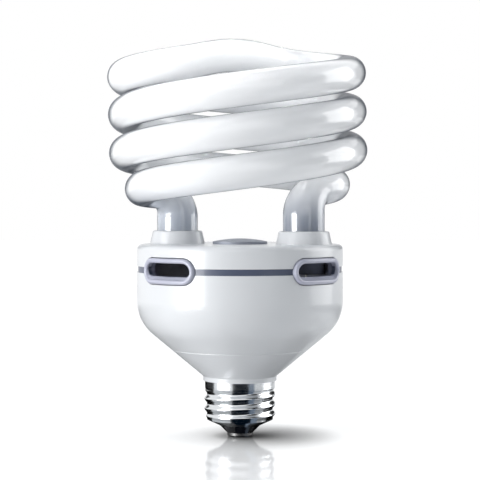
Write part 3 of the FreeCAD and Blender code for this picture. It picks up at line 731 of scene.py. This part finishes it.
def world():
    """White to the eye, to gloss and to glass, and a soft bluish light to all else."""
    made = bpy.data.worlds.new("studio")
    made.use_nodes = True
    w = Nodes(made.node_tree)
    camera_ray, glossy_ray, through_ray = w.outputs(
        "ShaderNodeLightPath", ["Is Camera Ray", "Is Glossy Ray", "Is Transmission Ray"])
    white = w.node("ShaderNodeBackground", None, {"Color": (1.0, 1.0, 1.0, 1.0)})
    soft = w.node("ShaderNodeBackground", None, {"Color": (0.86, 0.93, 1.0, 1.0), "Strength": 0.34})
    seen = camera_ray.most(glossy_ray).most(through_ray)
    w.end("ShaderNodeOutputWorld", w.node("ShaderNodeMixShader", None, {0: seen, 1: soft, 2: white}))
    bpy.context.scene.world = made


def around(azimuth, distance, height):
    """A place at a distance from the lamp: azimuth 0 is the front and 90 the right."""
    turn = math.radians(azimuth)
    return (distance * math.sin(turn), -distance * math.cos(turn), height)


def aim(thing, place, target):
    """Puts a light or a card at a place, turned to a target."""
    thing.location = place
    thing.rotation_euler = (Vector(target) - Vector(place)).to_track_quat("-Z", "Y").to_euler()


def light(name, place, target, width, height, power):
    """A rectangular lamp that faces a target."""
    data = bpy.data.lights.new(name, "AREA")
    data.shape = "RECTANGLE"
    data.size = width
    data.size_y = height
    data.energy = power
    lamp = linked(name, data)
    aim(lamp, place, target)
    return lamp


def only_for_gloss(piece):
    """Hides a card or a sheet from all but reflections."""
    piece.visible_camera = False
    piece.visible_shadow = False
    piece.visible_diffuse = False


def flag(name, place, target, width, height):
    """A black card that the camera doesn't see: it darkens what the gloss reflects there."""
    bm = bmesh.new()
    bmesh.ops.create_grid(bm, x_segments=1, y_segments=1, size=0.5)
    mesh = mesh_from(name, bm)
    card = linked(name, mesh)
    card.scale = (width, height, 1)
    aim(card, place, target)
    only_for_gloss(card)
    f = Finish(name)
    mesh.materials.append(f.done(f.node("ShaderNodeEmission", None, {"Strength": 0.0})))


def floor_shade(name, first, last, colour=(0.0, 0.0, 0.0), near=0.002, far=0.5):
    """A dark sheet on the floor between two azimuths, seen only by gloss that looks down at it."""
    strips = 12
    above_floor = 0.2 * MM
    bm = bmesh.new()
    rows = []
    for i in range(strips + 1):
        azimuth = first + (last - first) * i / strips
        rows.append([bm.verts.new(around(azimuth, distance, above_floor)) for distance in (near, far)])
    for low, high in zip(rows, rows[1:]):
        bm.faces.new((low[0], low[1], high[1], high[0]))
    mesh = mesh_from(name, bm)
    sheet = linked(name, mesh)
    only_for_gloss(sheet)
    f = Finish(name)
    dark = f.node("ShaderNodeEmission", None, {"Color": (*colour, 1.0)})
    clear = f.node("ShaderNodeBsdfTransparent")
    behind = f.node("ShaderNodeNewGeometry", out="Backfacing")
    mesh.materials.append(f.done(f.node("ShaderNodeMixShader", None, {0: behind, 1: dark, 2: clear})))


middle = (0, 0, 0.08)
floor()
world()
light("key_left", around(-60, 0.9, 0.26), middle, width=0.5, height=0.5, power=3.7)
light("low_left", around(-54, 0.9, 0.06), middle, width=0.5, height=0.16, power=3.0)
light("panel_right", around(102, 0.7, 0.26), middle, width=0.5, height=0.7, power=3.0)
light("top", (-0.05, 0.1, 0.8), middle, width=0.6, height=0.6, power=2.4)
light("top_left", (-0.5, -0.3, 0.7), middle, width=0.5, height=0.5, power=0.9)
crown_front = light(
    "crown_front", (-0.06, -0.55, 0.4), (-0.01, 0, 0.158), width=0.05, height=0.05, power=0.013)
crown_front.data.spread = math.radians(9)
crown_front.visible_glossy = False
flag("card_right", around(58, 0.5, 0.17), middle, width=0.36, height=0.26)
flag("card_camera", around(2, 0.75, 0.03), middle, width=0.62, height=0.16)
flag("card_back_right", around(145, 0.6, 0.22), middle, width=0.4, height=0.28)
flag("card_back_left", around(-150, 0.6, 0.22), middle, width=0.2, height=0.28)
flag("card_top", (0.21, -0.15, 0.78), (0.21, -0.15, 0), width=0.6, height=0.9)
flag("card_high_right", around(45, 0.62, 0.5), middle, width=0.5, height=0.4)
floor_shade("shade_front", -24, 28, (0.0, 0.003, 0.008))
floor_shade("shade_front_edge", 28, 46, (0.16, 0.2, 0.26))
floor_shade("shade_right_near", 80, 152, far=0.06)
floor_shade("shade_right_far", 80, 152, near=0.2)
floor_shade("shade_left", -180, -92)

camera = linked("camera", bpy.data.cameras.new("camera"))
camera.data.sensor_width = 36.0
camera.data.lens = LENS
camera.location = (0.0, -CAMERA_DISTANCE, CAMERA_Z)
camera.rotation_euler = (math.pi / 2 - math.atan((CAMERA_Z - AIM_Z) / CAMERA_DISTANCE), 0, 0)
bpy.context.scene.camera = camera
bpy.context.scene.view_settings.view_transform = "Standard"
